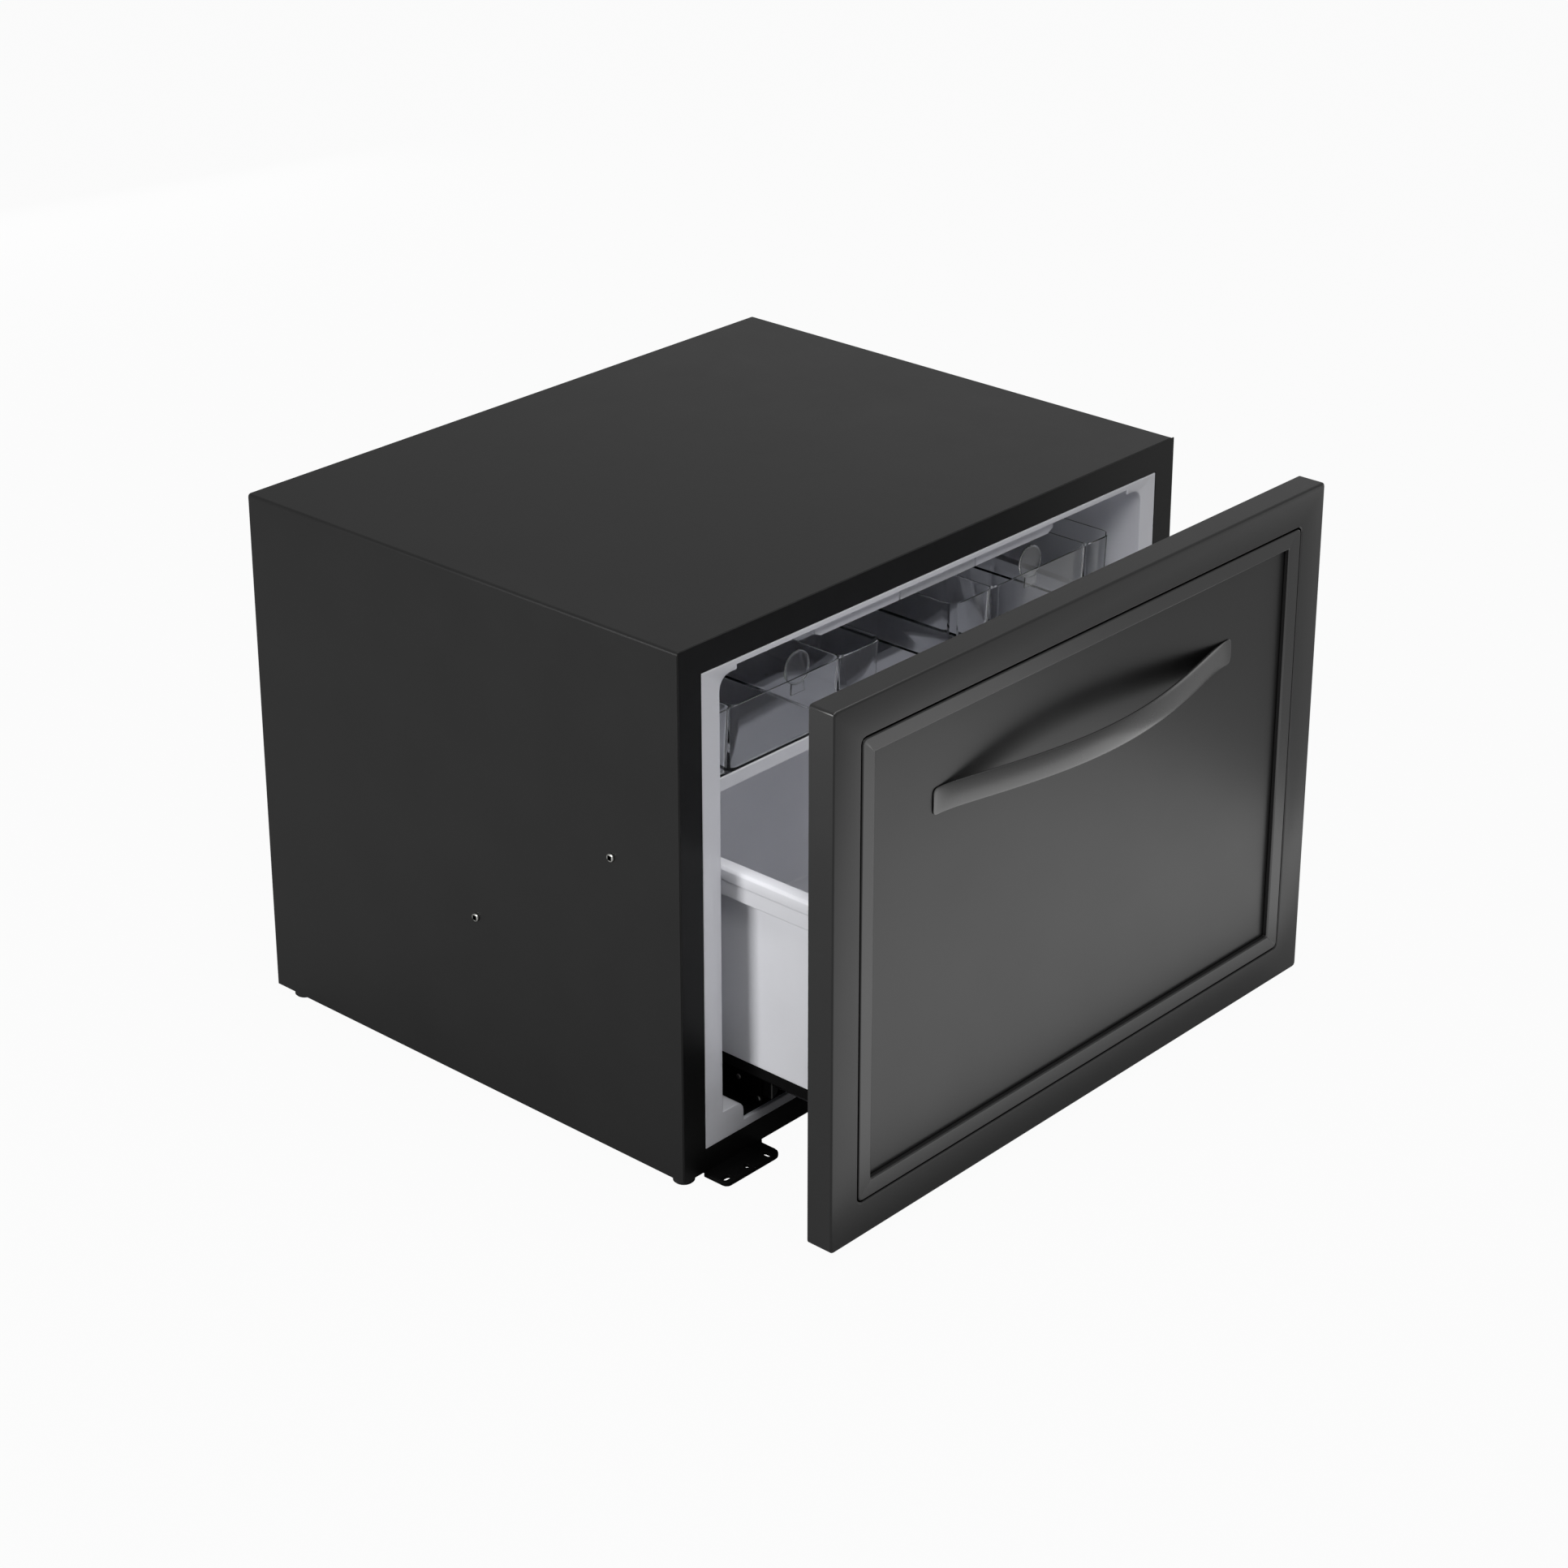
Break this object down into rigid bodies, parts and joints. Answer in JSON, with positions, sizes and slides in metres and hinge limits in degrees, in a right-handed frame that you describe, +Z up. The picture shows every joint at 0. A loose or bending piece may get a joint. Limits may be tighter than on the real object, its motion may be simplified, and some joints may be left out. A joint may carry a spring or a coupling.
{
  "type": "drawer minibar fridge",
  "caption": "Insulated box fridge with one full-height drawer on telescopic runners, white bin, clear trays, bow handle and rear cooling unit.",
  "frame": {"origin": "on the floor, at the middle of the whole object's box with the drawer part open", "axes": "-Y is the front, where the drawer comes out; +Z is up; +X is to the right as seen from the front"},
  "size_m": [0.5912, 0.6366, 0.446],
  "materials": {
    "casing_paint": "satin dark grey powder coat",
    "black_paint": "matt black powder coat",
    "front_coat": "satin grey coat",
    "trim_metal": "satin grey with a light bevel",
    "panel_metal": "satin grey, softly reflecting",
    "handle_metal": "satin metallic grey",
    "liner_plastic": "smooth white",
    "bin_plastic": "smooth white",
    "clear_plastic": "clear moulded plastic",
    "lens_plastic": "frosted clear plastic",
    "black_plastic": "fine black moulding",
    "runner_steel": "black plated steel",
    "bracket_steel": "black coated steel",
    "zinc_plate": "bright zinc plate",
    "bare_aluminium": "mill finish",
    "foam": "rigid foam, closed cells",
    "seal_rubber": "soft dark seal",
    "foot_rubber": "matt black rubber",
    "circuit_board": "green board",
    "module_ceramic": "white ceramic plates"
  },
  "bodies": {
    "cabinet": {"outer_casing": "casing_paint", "base_panel": "black_paint", "front_frame": "black_paint", "inner_liner": "liner_plastic", "foam_insulation": "foam", "light_housing": "liner_plastic", "light_lens": "lens_plastic", "lamp_board": "circuit_board", "machine_panel": "zinc_plate", "heat_sink": "bare_aluminium", "cooling_module": "module_ceramic", "cold_block": "bare_aluminium", "cold_sink": "bare_aluminium", "rear_fan_housing": "black_plastic", "cold_fan_housing": "black_plastic", "cold_cover": "liner_plastic", "rear_cover": "black_paint", "power_supply": "bare_aluminium", "power_inlet": "black_plastic", "foot_front_left": "foot_rubber", "foot_front_right": "foot_rubber", "foot_rear_left": "foot_rubber", "foot_rear_right": "foot_rubber", "mounting_bracket_left": "bracket_steel", "mounting_bracket_right": "bracket_steel", "side_screw_left_1": "zinc_plate", "side_screw_left_2": "zinc_plate", "side_screw_right_1": "zinc_plate", "side_screw_right_2": "zinc_plate", "runner_bracket_left": "bracket_steel", "runner_bracket_right": "bracket_steel", "runner_outer_left": "runner_steel", "runner_outer_right": "runner_steel"},
    "middle_left": {"runner_middle_left": "runner_steel"},
    "middle_right": {"runner_middle_right": "runner_steel"},
    "drawer": {"runner_inner_left": "runner_steel", "runner_inner_right": "runner_steel", "carrier_left": "bracket_steel", "carrier_right": "bracket_steel", "drawer_frame": "front_coat", "trim_frame": "trim_metal", "decor_panel": "panel_metal", "handle": "handle_metal", "drawer_insulation": "foam", "drawer_liner": "liner_plastic", "gasket": "seal_rubber", "storage_bin": "bin_plastic", "tray_frame": "bin_plastic", "tray_left": "clear_plastic", "tray_right": "clear_plastic", "tray_tab_left": "clear_plastic", "tray_tab_right": "clear_plastic"},
    "rear_fan": {"rear_fan_rotor": "black_plastic"},
    "cold_fan": {"cold_fan_rotor": "black_plastic"}
  },
  "joints": [
    {"name": "drawer_slide", "type": "slide", "parent": "cabinet", "child": "drawer", "axis": [0, -1, 0], "range_m": [-0.1155, 0.184]},
    {"name": "middle_left_slide", "type": "slide", "parent": "cabinet", "child": "middle_left", "axis": [0, -1, 0], "range_m": [-0.0578, 0.0921]},
    {"name": "middle_right_slide", "type": "slide", "parent": "cabinet", "child": "middle_right", "axis": [0, -1, 0], "range_m": [-0.0578, 0.0921]},
    {"name": "rear_fan_spin", "type": "hinge", "parent": "cabinet", "child": "rear_fan", "pos_m": [0, 0.29875, 0.245], "axis": [0, 1, 0], "continuous": true},
    {"name": "cold_fan_spin", "type": "hinge", "parent": "cabinet", "child": "cold_fan", "pos_m": [0, 0.16955, 0.245], "axis": [0, 1, 0], "continuous": true}
  ],
  "couplings": [
    {"joint": "middle_left_slide", "follows": "drawer_slide", "ratio": 0.5},
    {"joint": "middle_right_slide", "follows": "drawer_slide", "ratio": 0.5}
  ]
}
